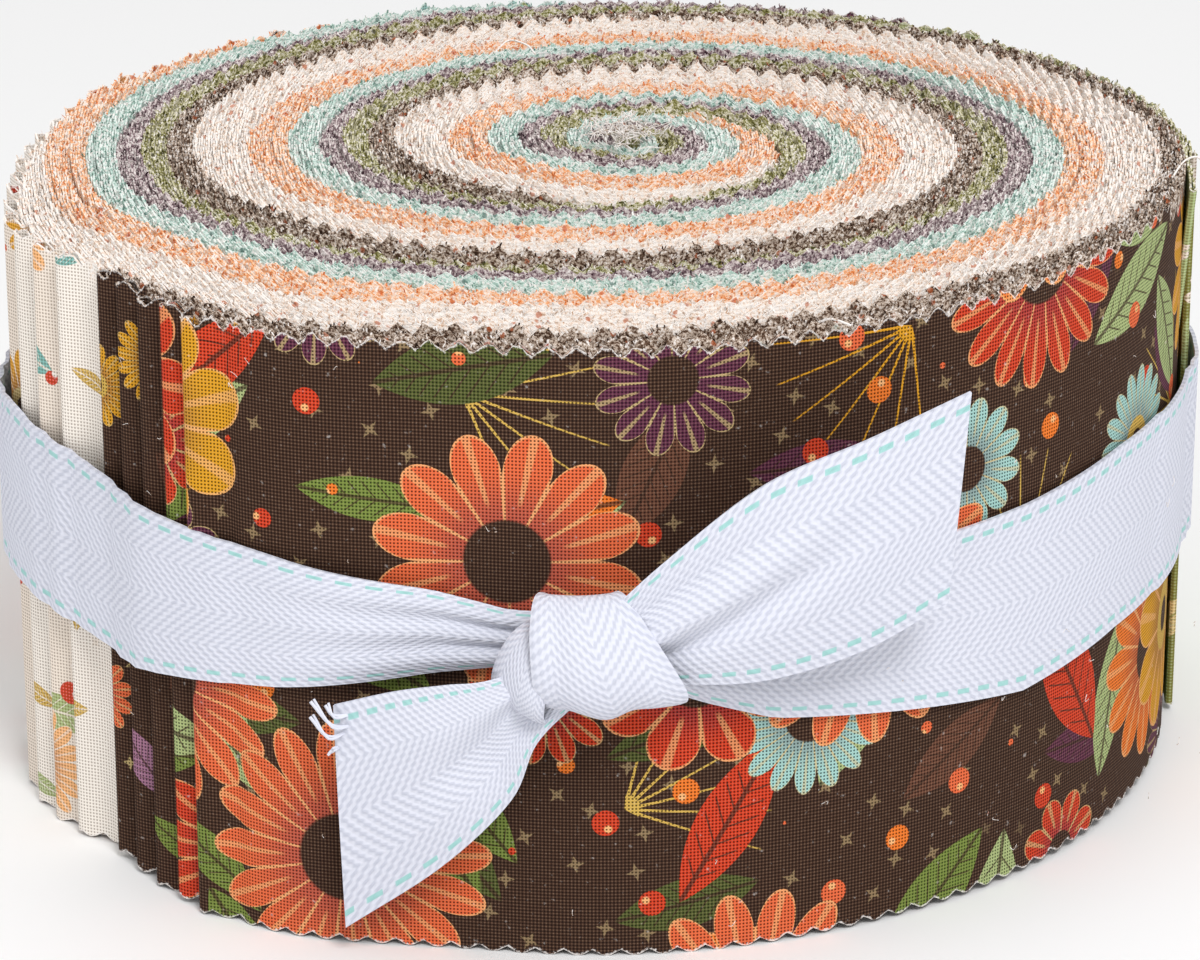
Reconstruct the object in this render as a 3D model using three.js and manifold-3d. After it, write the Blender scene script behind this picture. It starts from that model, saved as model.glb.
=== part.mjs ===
import * as THREE from 'three';
import { mergeVertices } from 'three/addons/utils/BufferGeometryUtils.js';
import Module from 'manifold-3d';

const wasm = await Module();
wasm.setup();

// A roll of folded cotton strips, wound together and tied with a ribbon.
// Millimetres and degrees. The roll stands on its cut edges at z = 0, its knot towards -Y.

// The strips
const STRIP_WIDTH = 63.5;
const STRIP_COUNT = 40;
const LAYER = 0.265;
const STRIP = 2 * LAYER;
const PITCH = STRIP * STRIP_COUNT;

// The winding: its radius grows clockwise, seen from above
const CENTRE = new THREE.Vector2(2.3, 3.0);
const OUTER_RADIUS = 66.2;
const LAST_FOLD_AZIMUTH = -128;
const OVAL = 0.017;
const OVAL_AZIMUTH = 33.5;
const OUTLINE_STEP = 5;

// Where the strips' folded ends show, in degrees clockwise of the outermost one
const FOLDS = [
  { colour: 'brown', strips: 5, first: 0, last: 13.5 },
  { colour: 'cream', strips: 11, first: 20, last: 62 },
  { colour: 'peach', strips: 8, first: 66, last: 107 },
  { colour: 'teal', strips: 6, first: 110, last: 135 },
  { colour: 'plum', strips: 5, first: 140, last: 175 },
  { colour: 'green', strips: 5, first: 185, last: 252 },
];
const FOLD_ROUND = 0.2;

// The innermost strip's end stands a little off the roll
const FLAP_LENGTH = 16;
const FLAP_LIFT = 1.2;

// Soft swells and hollows of the outer turns
const SWELLS = [
  { azimuth: -158, spread: 8, height: 1.6 },
  { azimuth: -142, spread: 7, height: -0.8 },
  { azimuth: -121, spread: 9, height: 1.5 },
  { azimuth: -104, spread: 9, height: -1.0 },
  { azimuth: 113, spread: 7, height: 1.0 },
];
const SWELL_FADE = 4;

// The turns inside the rim stand a little higher than it, and most at the front
const CROWN_HEIGHT = 1.5;
const CROWN_RADIUS = 57;
const CROWN_EDGE = 63;
const CROWN_SIDES = 72;
const MIDDLE_HEIGHT = 0.8;
const BACKWARD_SLOPE = 0.0125;

// Spiral seams in the two faces: how many strips in from the outside, and the radius where each ends
const SEAMS = [
  { face: 'top', stripsIn: 0, core: 4 },
  { face: 'top', stripsIn: 16, core: 4 },
  { face: 'top', stripsIn: 30, core: 4 },
  { face: 'base', stripsIn: 0, core: 9 },
];
const SEAM_WIDTH = 1.0;
const SEAM_DEPTH = 1.2;
const SEAM_STEP = 11;
const SEAM_OVERRUN = 2;

// The ribbon's band
const RIBBON_WIDTH = 19;
const RIBBON_THICKNESS = 1;
const RIBBON_GAP = 0.35;
const RIBBON_HEIGHT = 33.5;
const BAND_STEPS = 72;
const BAND_ROWS = 6;
const BRIDGED = [-4, -2, 0, 2, 4];

// The band draws in to the knot, in pleats
const KNOT_AZIMUTH = -93;
const GATHERED_WIDTH = 8;
const GATHER_FROM = 7;
const GATHER_TO = 36;
const PLEATS = 2;
const PLEAT_DEPTH = 0.9;

// The knot's wraps, soft boxes: centre, half sizes, and lean in the front view
const WRAPS = [
  { x: -0.6, y: -64.9, z: 33.2, halfX: 6.6, halfY: 4.0, halfZ: 5.6, lean: 4 },
  { x: 1.8, y: -65.2, z: 32.0, halfX: 7.6, halfY: 4.1, halfZ: 4.6, lean: 42 },
  { x: -6.4, y: -64.4, z: 31.6, halfX: 3.4, halfY: 3.4, halfZ: 5.2, lean: 34 },
];
const WRAP_SIDES = 18;
const WRAP_RINGS = 10;
const WRAP_SQUARENESS = 0.7;

// The free ends. Each row holds the two edges at one place, from the knot out to the cut.
const LEFT_END = [
  { upper: [-4.0, -65.5, 34.5], lower: [-1.5, -65.8, 30.5] },
  { upper: [-10.4, -66.3, 32.1], lower: [-6.2, -66.3, 25.6] },
  { upper: [-15.0, -65.8, 31.3], lower: [-8.8, -66.0, 19.3] },
  { upper: [-20.0, -64.4, 30.0], lower: [-15.6, -64.4, 11.6] },
  { upper: [-25.8, -62.0, 27.6], lower: [-25.1, -61.0, 3.4] },
];
const RIGHT_END = [
  { upper: [-1.5, -65.4, 36.5], lower: [1.0, -65.2, 31.5] },
  { upper: [6.2, -66.7, 44.6], lower: [7.0, -65.3, 31.3] },
  { upper: [15.2, -67.5, 52.4], lower: [15.6, -64.6, 31.4] },
  { upper: [25.0, -66.0, 56.4], lower: [24.9, -62.8, 33.7] },
  { upper: [34.6, -62.4, 59.8], lower: [33.1, -60.0, 37.5] },
];
const END_STEPS = 12;
const END_ROWS = 5;
const END_BELLY = 1.4;
const SLOPE_STEP = 0.01;

const MERGE = 1e-4;
const { clamp, degToRad, lerp, smoothstep, euclideanModulo } = THREE.MathUtils;

// Joining and cutting

function toManifold(geometry) {
  geometry.deleteAttribute('normal');
  geometry.deleteAttribute('uv');
  const merged = mergeVertices(geometry, MERGE);
  const corners = merged.index.array;
  const triangles = [];
  for (let i = 0; i < corners.length; i += 3) {
    const triangle = [corners[i], corners[i + 1], corners[i + 2]];
    if (new Set(triangle).size === 3) {
      triangles.push(...triangle);
    }
  }
  const vertProperties = new Float32Array(merged.attributes.position.array);
  const triVerts = new Uint32Array(triangles);
  return new wasm.Manifold(new wasm.Mesh({ numProp: 3, vertProperties, triVerts }));
}

function toMesh(name, solid, color, roughness) {
  const { vertProperties, triVerts } = solid.getMesh();
  const geometry = new THREE.BufferGeometry();
  geometry.setAttribute('position', new THREE.BufferAttribute(vertProperties, 3));
  geometry.setIndex(new THREE.BufferAttribute(triVerts, 1));
  geometry.computeVertexNormals();
  const material = new THREE.MeshStandardMaterial({ color, roughness, metalness: 0 });
  const mesh = new THREE.Mesh(geometry, material);
  mesh.name = name;
  return mesh;
}

// The winding

const folds = FOLDS.flatMap(({ strips, first, last }) =>
  Array.from({ length: strips }, (_, i) => lerp(first, last, i / (strips - 1))));
const lastEnd = folds[STRIP_COUNT - 1];

function gaussian(away, spread) {
  return Math.exp(-((away / spread) ** 2));
}

function swellAt(azimuth) {
  return SWELLS.reduce((sum, swell) => {
    const away = euclideanModulo(azimuth - swell.azimuth + 180, 360) - 180;
    return sum + swell.height * gaussian(away, swell.spread);
  }, 0);
}

// A point of the winding: degrees clockwise of the outermost fold, and the radius before the
// roll is pressed oval. Swells fade towards the middle.
function woundPoint(turned, radius) {
  const azimuth = LAST_FOLD_AZIMUTH - turned;
  const squash = 1 + OVAL * Math.cos(degToRad(2 * (azimuth - OVAL_AZIMUTH)));
  const fade = (radius / OUTER_RADIUS) ** SWELL_FADE;
  const reach = radius * squash + swellAt(azimuth) * fade;
  const angle = degToRad(azimuth);
  return new THREE.Vector2(Math.cos(angle), Math.sin(angle)).multiplyScalar(reach).add(CENTRE);
}

// The face between two strips spirals outwards. It is counted in strips from the outside.
function seamRadius(turned, stripsIn) {
  return OUTER_RADIUS + PITCH * turned / 360 - STRIP * stripsIn;
}

function flapLift(turned) {
  const along = (turned - lastEnd + FLAP_LENGTH) / FLAP_LENGTH;
  return along > 0 && along <= 1 ? FLAP_LIFT * along ** 2 : 0;
}

function outerPoint(turned, stripsEnded) {
  return woundPoint(turned, seamRadius(turned, stripsEnded) + flapLift(turned));
}

// The outline steps in by one strip at each fold
function rollOutline() {
  const points = [];
  folds.forEach((fold, ended) => {
    const next = folds[ended + 1] ?? 360;
    points.push(outerPoint(fold - FOLD_ROUND, ended));
    points.push(outerPoint(fold, ended + FOLD_ROUND));
    points.push(outerPoint(fold + FOLD_ROUND / 2, ended + 1));
    const arcs = Math.ceil((next - fold) / OUTLINE_STEP);
    for (let i = 1; i < arcs; i += 1) {
      points.push(outerPoint(lerp(fold, next, i / arcs), ended + 1));
    }
  });
  return points.reverse();
}

// The height of the top: a crown that slopes down to the rim and towards the back
function topAt({ x, y }) {
  const radius = Math.hypot(x - CENTRE.x, y - CENTRE.y);
  const crown = CROWN_HEIGHT * clamp((CROWN_EDGE - radius) / (CROWN_EDGE - CROWN_RADIUS), 0, 1);
  return STRIP_WIDTH + Math.min(crown, MIDDLE_HEIGHT - BACKWARD_SLOPE * y);
}

function rollBlank() {
  const spare = 1;
  const tall = STRIP_WIDTH + CROWN_HEIGHT + spare;
  const shape = new THREE.Shape(rollOutline());
  const column = new THREE.ExtrudeGeometry(shape, { depth: tall, bevelEnabled: false });
  const wide = OUTER_RADIUS + PITCH;
  const crown = new THREE.LatheGeometry([
    new THREE.Vector2(0, -spare),
    new THREE.Vector2(wide, -spare),
    new THREE.Vector2(wide, STRIP_WIDTH),
    new THREE.Vector2(CROWN_EDGE, STRIP_WIDTH),
    new THREE.Vector2(CROWN_RADIUS, STRIP_WIDTH + CROWN_HEIGHT),
    new THREE.Vector2(0, STRIP_WIDTH + CROWN_HEIGHT),
  ], CROWN_SIDES);
  crown.rotateX(Math.PI / 2);
  crown.translate(CENTRE.x, CENTRE.y, 0);
  const sloped = new THREE.BoxGeometry(2 * wide, 2 * wide, 2 * tall);
  sloped.translate(0, 0, -tall);
  sloped.rotateX(-Math.atan(BACKWARD_SLOPE));
  sloped.translate(0, 0, STRIP_WIDTH + MIDDLE_HEIGHT);
  return toManifold(column).intersect(toManifold(crown)).intersect(toManifold(sloped));
}

// A V-shaped cutter that follows one seam over a face
function seamCutter({ face, stripsIn, core }) {
  const start = stripsIn === 0 ? lastEnd - 360 : folds[stripsIn - 1];
  const path = [];
  for (let turned = start + SEAM_OVERRUN; seamRadius(turned, stripsIn) > core; turned -= SEAM_STEP) {
    const place = woundPoint(turned, seamRadius(turned, stripsIn));
    path.push(new THREE.Vector3(place.x, place.y, face === 'top' ? topAt(place) : 0));
  }
  const section = new THREE.Shape([
    new THREE.Vector2(SEAM_DEPTH, 0),
    new THREE.Vector2(0, SEAM_WIDTH / 2),
    new THREE.Vector2(-SEAM_DEPTH, 0),
    new THREE.Vector2(0, -SEAM_WIDTH / 2),
  ]);
  const extrudePath = new THREE.CatmullRomCurve3(path);
  return toManifold(new THREE.ExtrudeGeometry(section, { steps: path.length - 1, extrudePath }));
}

function makeRoll() {
  const solid = SEAMS.reduce((roll, seam) => roll.subtract(seamCutter(seam)), rollBlank());
  return toMesh('strip_roll', solid, 0x3a241b, 0.9);
}

// The ribbon

// The widest radius of the roll near a place, so that the band bridges the steps
function bandRadius(turned) {
  const near = BRIDGED.map((offset) => {
    const place = euclideanModulo(turned + offset, 360);
    const ended = folds.filter((fold) => fold < place).length;
    return outerPoint(place, ended).distanceTo(CENTRE);
  });
  return Math.max(...near);
}

// A ring whose section is bent into the ribbon's: its outer side, then its inner side
function bandGeometry() {
  const sectionPoints = 2 * (BAND_ROWS + 1);
  const ring = new THREE.TorusGeometry(1, 0.5, sectionPoints, BAND_STEPS);
  const position = ring.attributes.position;
  for (let j = 0; j <= sectionPoints; j += 1) {
    const side = j % sectionPoints;
    const outer = side <= BAND_ROWS;
    const across = (outer ? side : sectionPoints - 1 - side) / BAND_ROWS;
    for (let i = 0; i <= BAND_STEPS; i += 1) {
      const azimuth = KNOT_AZIMUTH + 360 * (i % BAND_STEPS) / BAND_STEPS;
      const fromKnot = Math.abs(euclideanModulo(azimuth - KNOT_AZIMUTH + 180, 360) - 180);
      const spread = smoothstep(fromKnot, GATHER_FROM, GATHER_TO);
      const width = lerp(GATHERED_WIDTH, RIBBON_WIDTH, spread);
      const pleat = PLEAT_DEPTH * (1 - spread) * (0.5 - 0.5 * Math.cos(2 * Math.PI * PLEATS * across));
      const offRoll = RIBBON_GAP + pleat + (outer ? RIBBON_THICKNESS : 0);
      const radius = bandRadius(LAST_FOLD_AZIMUTH - azimuth) + offRoll;
      const angle = degToRad(azimuth);
      position.setXYZ(
        j * (BAND_STEPS + 1) + i,
        CENTRE.x + radius * Math.cos(angle),
        CENTRE.y + radius * Math.sin(angle),
        RIBBON_HEIGHT + width * (across - 0.5),
      );
    }
  }
  return ring;
}

function squared(value) {
  return Math.sign(value) * Math.abs(value) ** WRAP_SQUARENESS;
}

function wrapGeometry({ x, y, z, halfX, halfY, halfZ, lean }) {
  const wrap = new THREE.SphereGeometry(1, WRAP_SIDES, WRAP_RINGS);
  const position = wrap.attributes.position;
  for (let i = 0; i < position.count; i += 1) {
    position.setXYZ(i, squared(position.getX(i)), squared(position.getY(i)), squared(position.getZ(i)));
  }
  wrap.scale(halfX, halfY, halfZ);
  wrap.rotateY(degToRad(lean));
  wrap.translate(x, y, z);
  return wrap;
}

// A free end is a flat box whose points are carried onto the sheet between its two edges
function freeEndGeometry(rows) {
  const upper = new THREE.CatmullRomCurve3(rows.map((row) => new THREE.Vector3(...row.upper)));
  const lower = new THREE.CatmullRomCurve3(rows.map((row) => new THREE.Vector3(...row.lower)));
  const onSheet = (along, across) => {
    const point = lower.getPoint(along).lerp(upper.getPoint(along), across);
    point.y -= END_BELLY * Math.sin(Math.PI * across) * Math.sin(Math.PI * along);
    return point;
  };
  const onward = (value) => Math.min(value + SLOPE_STEP, 1);
  const back = (value) => Math.max(value - SLOPE_STEP, 0);
  const sheet = new THREE.BoxGeometry(1, 1, 1, END_STEPS, END_ROWS, 1);
  const position = sheet.attributes.position;
  for (let i = 0; i < position.count; i += 1) {
    const along = position.getX(i) + 0.5;
    const across = position.getY(i) + 0.5;
    const lengthwise = onSheet(onward(along), across).sub(onSheet(back(along), across));
    const crosswise = onSheet(along, onward(across)).sub(onSheet(along, back(across)));
    const normal = lengthwise.cross(crosswise).normalize();
    const point = onSheet(along, across).addScaledVector(normal, position.getZ(i) * RIBBON_THICKNESS);
    position.setXYZ(i, point.x, point.y, point.z);
  }
  return sheet;
}

function makeRibbon() {
  const pieces = [
    ...WRAPS.map(wrapGeometry),
    freeEndGeometry(LEFT_END),
    freeEndGeometry(RIGHT_END),
  ];
  const solid = pieces.reduce((ribbon, piece) => ribbon.add(toManifold(piece)), toManifold(bandGeometry()));
  return toMesh('ribbon_tie', solid, 0xe9ecf4, 0.7);
}

const group = new THREE.Group();
group.add(makeRoll(), makeRibbon());

export default group;
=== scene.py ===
import math

import bpy
import numpy as np
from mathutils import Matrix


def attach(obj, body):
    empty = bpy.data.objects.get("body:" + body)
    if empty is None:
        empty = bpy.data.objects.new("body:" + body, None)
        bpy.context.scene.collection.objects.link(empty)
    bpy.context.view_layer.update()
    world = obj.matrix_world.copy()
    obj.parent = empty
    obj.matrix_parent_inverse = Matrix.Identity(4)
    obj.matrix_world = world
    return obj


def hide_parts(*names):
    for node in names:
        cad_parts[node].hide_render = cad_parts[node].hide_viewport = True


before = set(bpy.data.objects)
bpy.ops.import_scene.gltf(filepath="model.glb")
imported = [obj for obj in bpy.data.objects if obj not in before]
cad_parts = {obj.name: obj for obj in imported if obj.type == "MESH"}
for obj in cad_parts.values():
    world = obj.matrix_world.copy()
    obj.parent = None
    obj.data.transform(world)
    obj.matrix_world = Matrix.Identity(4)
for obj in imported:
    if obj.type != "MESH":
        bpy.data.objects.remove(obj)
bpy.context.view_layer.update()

# A roll of folded cotton strips tied with a ribbon. Sizes are in millimetres and angles in
# degrees, as in the solids, and the meshes are written in metres.
MM = 0.001
SHARP_ANGLE = 50
rng = np.random.default_rng(20)

# The strips: each is cut with pinked edges, folded in half and wound with the others
STRIP_WIDTH = 63.5
STRIP_LENGTH = 1118.0
STRIP_COUNT = 40
LAYER = 0.265
STRIP = 2 * LAYER
PITCH = STRIP * STRIP_COUNT
CLOTH = 0.21

# The winding: its radius grows clockwise, seen from above
CENTRE = np.array([2.3, 3.0])
OUTER_RADIUS = 66.2
CORE_RADIUS = 1.3
FIRST_FOLD_AZIMUTH = -128
OVAL = 0.017
OVAL_AZIMUTH = 33.5
WIND_STEP = 0.5
WIND_END = -1250.0
BRIDGE = 6.0

# Each family of strips: its name, its count, and where its first and last fold show, in degrees
# clockwise of the first brown one
FAMILIES = [
    ("brown", 5, 0, 13.5),
    ("cream", 11, 20, 62),
    ("peach", 8, 66, 107),
    ("teal", 6, 110, 135),
    ("plum", 5, 140, 175),
    ("green", 5, 185, 252),
]
FOLDS = np.concatenate([np.linspace(first, last, count) for _, count, first, last in FAMILIES])
FAMILY_OF = [name for name, count, _, _ in FAMILIES for _ in range(count)]

# The outermost end, at the front right, stands off at its top and leans back
FLAP_LIFT = 0.9
FLAP_SPREAD = 16  # degrees over which it stands off
FLAP_BACK = 6  # degrees by which its top is drawn back
FLAP_LEAN = 24  # degrees more at its foot
FLAP_TURN = 80  # degrees over which both fade out
FLAP_LENGTH = 16  # millimetres over which its foot lies against the roll

# Each strip puffs up before its fold and dips behind the puff. The green ones are pressed flatter.
PUFF = 1.0
PUFF_LENGTH = 3.2
PUFF_DIP = 0.25
PUFF_DIP_PLACE = 1.3 * PUFF_LENGTH
TIGHT_FOLDS = 5
TIGHT_PUFF = 0.3
NOSE_ANGLES = (20, 55, 90, 125, 160)

# Soft swells and hollows of the outer turns: azimuth, spread, height
SWELLS = [
    (-158, 8, 1.6),
    (-142, 7, -0.8),
    (-121, 9, 1.5),
    (-104, 9, -1.0),
    (113, 7, 1.0),
]
SWELL_FADE = 4

# The crown of the top
CROWN_HEIGHT = 1.5
CROWN_RADIUS = 57
CROWN_EDGE = 63
MIDDLE_HEIGHT = 0.8
BACKWARD_SLOPE = 0.0125
UNEVEN = 0.35
BROWN_RISE = 0.3
# Slow waves along each strip: height, and length of a radian
WAVES = ((0.12, 23), (0.08, 7.3))

# The pinked teeth. They line up at one place of the winding, as the strips were cut in a stack.
TOOTH = 2.8
TOOTH_DEPTH = 1.0
INNER_TOOTH_DEPTH = 0.75
LOWER_TOOTH = 0.65  # depth of the teeth below, as a share
TOOTH_UNEVEN = 0.16
TOOTH_MARGIN = 0.2  # clear of both ends of a strip
RIDGE_PLACE = -578
ROUND_TOOTH = (0.0, 0.16, 0.62, 1.0, 0.62, 0.16)
ROUNDED_STRIPS = 6

# Cloth this far below the outline still shows its print, and then it fades to cut yarn
SHOWN_DEPTH = 0.22
SHOWN_FADE = 0.12
# Each strip's print begins this much farther along the cloth than the last one's
PRINT_SHIFT = 137

# Frayed yarn ends along the cut edges
FRAY_SPACING = 0.9
FRAY_LENGTH = (0.2, 0.6)
FRAY_RADIUS = (0.07, 0.14)
FRAY_LEAN = 0.55
FRAY_CURL = 0.8
FRAY_ROOT = 0.25
FRAY_KNEE = 0.15
# Yarn runs from tone 0 in the shade to this pale one. Tone 1 marks the sheets' own cut edges.
LOOSE_TONE = 0.92

# Loose fibres
THREAD_RADIUS = 0.11
LINT_COUNT = 70
LINT_AZIMUTHS = (-150, -20)
LINT_HEIGHTS = (3, 61)
LINT_SIZE = (0.2, 0.8)
LINT_OFF = 0.3
LINT_RADIUS = 0.03
LINT_TONE = 0.85
TUFT_COUNT = 150
TUFT_SPREAD = (1.6, 2.6)
TUFT_HEIGHT = 65.6
TUFT_REACH = (1.1, 0.8, 0.35)
TUFT_RADIUS = 0.06
RIM_THREADS = [
    [(58.6, -13.0, 65.3), (59.9, -11.6, 66.6), (61.4, -11.2, 66.9), (62.6, -11.8, 65.6)],
    [(-40.2, -47.6, 64.9), (-41.6, -48.6, 65.9), (-43.0, -47.9, 65.6)],
    [(20.4, -58.0, 65.2), (21.6, -59.4, 66.0), (23.4, -59.6, 65.4)],
    [(-12.0, 30.0, 66.2), (-10.4, 31.6, 67.2), (-8.4, 31.2, 66.8), (-7.4, 29.6, 66.2)],
]

# The ribbon
RIBBON_WIDTH = 19.0
RIBBON_CLOTH = 0.4
RIBBON_GAP = 0.45
KNOT_AZIMUTH = -93
BAND_STATIONS = 260
BAND_ROWS = 16
# The band bridges what lies between these degrees, and rides over each puff within PUFF_TURN
BRIDGED = (-4, -3, -2, -1, 0, 1, 2, 3, 4)
PUFF_TURN = 4
PUFF_HOLD = 0.3
PLEATS = 3
PLEAT_DEPTH = 1.0
PLEAT_REACH = 34
# azimuth, lower edge and upper edge of the band
BAND_EDGES = [
    (-171, 25.0, 43.6),
    (-157, 25.3, 44.6),
    (-136, 24.3, 42.3),
    (-120, 27.1, 40.8),
    (-106.5, 30.3, 38.8),
    (-100, 31.2, 36.8),
    (-88, 29.6, 36.6),
    (-83.6, 27.4, 38.0),
    (-76.8, 24.8, 39.8),
    (-49.6, 21.2, 41.2),
    (-34, 22.9, 42.6),
    (-19, 23.0, 42.6),
    (60, 24.0, 43.0),
    (140, 24.6, 43.6),
]


# Small helpers


def smooth(value):
    value = np.clip(value, 0, 1)
    return value * value * (3 - 2 * value)


def linear(rgb):
    """An sRGB colour of 0 to 255 as a linear one."""
    values = [v / 255 for v in rgb]
    return tuple(v / 12.92 if v <= 0.04045 else ((v + 0.055) / 1.055) ** 2.4 for v in values) + (1.0,)


def add_mesh(name, parts, materials):
    """One object of several parts, each with points, UVs and faces. Tone and shown may be left out."""
    points, uvs, tones, shown, corners, starts, slots = [], [], [], [], [], [], []
    first_point = first_corner = 0
    for part in parts:
        points.append(part["points"])
        uvs.append(part["uv"])
        tones.append(part.get("tone", np.zeros(len(part["points"]))))
        shown.append(part.get("shown", np.ones(len(part["points"]))))
        for faces, material in part["faces"]:
            corners.append((faces + first_point).ravel())
            starts.append(first_corner + faces.shape[1] * np.arange(len(faces)))
            slots.append(np.broadcast_to(material, len(faces)))
            first_corner += faces.size
        first_point += len(part["points"])
    corners = np.concatenate(corners).astype(np.int32)
    mesh = bpy.data.meshes.new(name)
    mesh.vertices.add(first_point)
    mesh.vertices.foreach_set("co", (np.concatenate(points) * MM).astype(np.float32).ravel())
    mesh.loops.add(len(corners))
    mesh.loops.foreach_set("vertex_index", corners)
    starts = np.concatenate(starts).astype(np.int32)
    mesh.polygons.add(len(starts))
    mesh.polygons.foreach_set("loop_start", starts)
    mesh.polygons.foreach_set("material_index", np.concatenate(slots).astype(np.int32))
    mesh.update(calc_edges=True)
    layer = mesh.uv_layers.new(name="UVMap")
    layer.data.foreach_set("uv", (np.concatenate(uvs)[corners] * MM).astype(np.float32).ravel())
    for key, values in (("tone", tones), ("shown", shown)):
        layer = mesh.attributes.new(key, "FLOAT", "POINT")
        layer.data.foreach_set("value", np.concatenate(values).astype(np.float32))
    mesh.shade_smooth()
    mesh.set_sharp_from_angle(angle=math.radians(SHARP_ANGLE))
    for material in materials:
        mesh.materials.append(material)
    piece = bpy.data.objects.new(name, mesh)
    bpy.context.scene.collection.objects.link(piece)
    return piece


def unit(vectors):
    return vectors / np.maximum(np.linalg.norm(vectors, axis=-1, keepdims=True), 1e-9)


def catmull(points, count):
    """Evenly parametrised points of a smooth curve through a few given ones."""
    points = np.asarray(points, float)
    padded = np.concatenate([[2 * points[0] - points[1]], points, [2 * points[-1] - points[-2]]])
    at = np.linspace(0, len(points) - 1, count)
    i = np.minimum(at.astype(int), len(points) - 2)
    t = (at - i)[:, None]
    a, b, c, d = padded[i], padded[i + 1], padded[i + 2], padded[i + 3]
    return 0.5 * (2 * b + (c - a) * t + (2 * a - 5 * b + 4 * c - d) * t**2 + (3 * b - a - 3 * c + d) * t**3)


# The winding


def swell_at(azimuth):
    total = np.zeros_like(azimuth)
    for place, spread, height in SWELLS:
        away = np.mod(azimuth - place + 180, 360) - 180
        total += height * np.exp(-((away / spread) ** 2))
    return total


def wound_point(turned, radius):
    """A point of the winding from its degrees clockwise of the first brown fold and its radius."""
    azimuth = FIRST_FOLD_AZIMUTH - turned
    squash = 1 + OVAL * np.cos(np.radians(2 * (azimuth - OVAL_AZIMUTH)))
    reach = radius * squash + swell_at(azimuth) * (radius / OUTER_RADIUS) ** SWELL_FADE
    angle = np.radians(azimuth)
    return CENTRE + reach[:, None] * np.stack([np.cos(angle), np.sin(angle)], 1)


def seam_radius(turned, strips_in):
    return OUTER_RADIUS + PITCH * turned / 360 - STRIP * strips_in


def top_lift(place):
    """How far the strips stand above the rim's height."""
    radius = np.hypot(*(place - CENTRE).T)
    crown = CROWN_HEIGHT * np.clip((CROWN_EDGE - radius) / (CROWN_EDGE - CROWN_RADIUS), 0, 1)
    return np.minimum(crown, MIDDLE_HEIGHT - BACKWARD_SLOPE * place[:, 1])


def wind():
    """Each strip's middle radius along the winding, laid from the outside in."""
    turned = np.arange(FOLDS[-1], WIND_END, -WIND_STEP)
    a_turn = int(360 / WIND_STEP)
    middle = np.full((STRIP_COUNT, len(turned)), np.nan)
    inner_face = np.zeros(len(turned))
    left = np.full(STRIP_COUNT, STRIP_LENGTH / 2)
    passed = np.zeros(STRIP_COUNT)
    for i, place in enumerate(turned):
        face = inner_face[i - a_turn] if i >= a_turn else seam_radius(place, np.sum(FOLDS < place))
        for k in np.flatnonzero(FOLDS >= place):
            step = math.radians(WIND_STEP) * max(face - STRIP / 2, 0)
            if left[k] > 0 and face > CORE_RADIUS:
                middle[k, i] = face - STRIP / 2
                left[k] -= step
                face -= STRIP
            else:
                left[k] = 0
                passed[k] += step
                face -= STRIP * (1 - smooth(passed[k] / BRIDGE))
        inner_face[i] = face
    return turned, middle


def outer_reach(turned, middle):
    """The largest radius of the strips by degree of azimuth."""
    reach = np.zeros(360)
    for radii in middle:
        laid = ~np.isnan(radii)
        arm = wound_point(turned[laid], radii[laid]) - CENTRE
        azimuth = np.floor(np.degrees(np.arctan2(arm[:, 1], arm[:, 0]))).astype(int) % 360
        np.maximum.at(reach, azimuth, np.linalg.norm(arm, axis=1))
    return reach


def strip_course(k, turned, middle):
    """The strip's middle line from the core to its fold, with two or six steps a tooth."""
    shown = np.flatnonzero(~np.isnan(middle[k]))[::-1]
    angles = turned[shown]
    radii = middle[k][shown]
    if k == STRIP_COUNT - 1:
        along = (angles - FOLDS[-1] + FLAP_SPREAD) / FLAP_SPREAD
        radii = radii + FLAP_LIFT * np.clip(along, 0, 1) ** 2
    place = wound_point(angles, radii)
    run = np.concatenate([[0], np.cumsum(np.linalg.norm(np.diff(place, axis=0), axis=1))])
    aligned = np.interp(RIDGE_PLACE, angles, run)
    profile = ROUND_TOOTH if k < ROUNDED_STRIPS else (0.0, 1.0)
    step = TOOTH / len(profile)
    first = math.ceil((TOOTH_MARGIN - aligned) / step)
    last = math.floor((run[-1] - TOOTH_MARGIN - aligned) / step)
    notch = np.arange(first, last + 1)
    at = np.concatenate([[0], aligned + notch * step, [run[-1]]])
    valley = np.concatenate([[0.5], np.array(profile)[np.mod(notch, len(profile))], [0.5]])
    x = np.interp(at, run, place[:, 0])
    y = np.interp(at, run, place[:, 1])
    return np.stack([x, y], 1), at, valley


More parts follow.
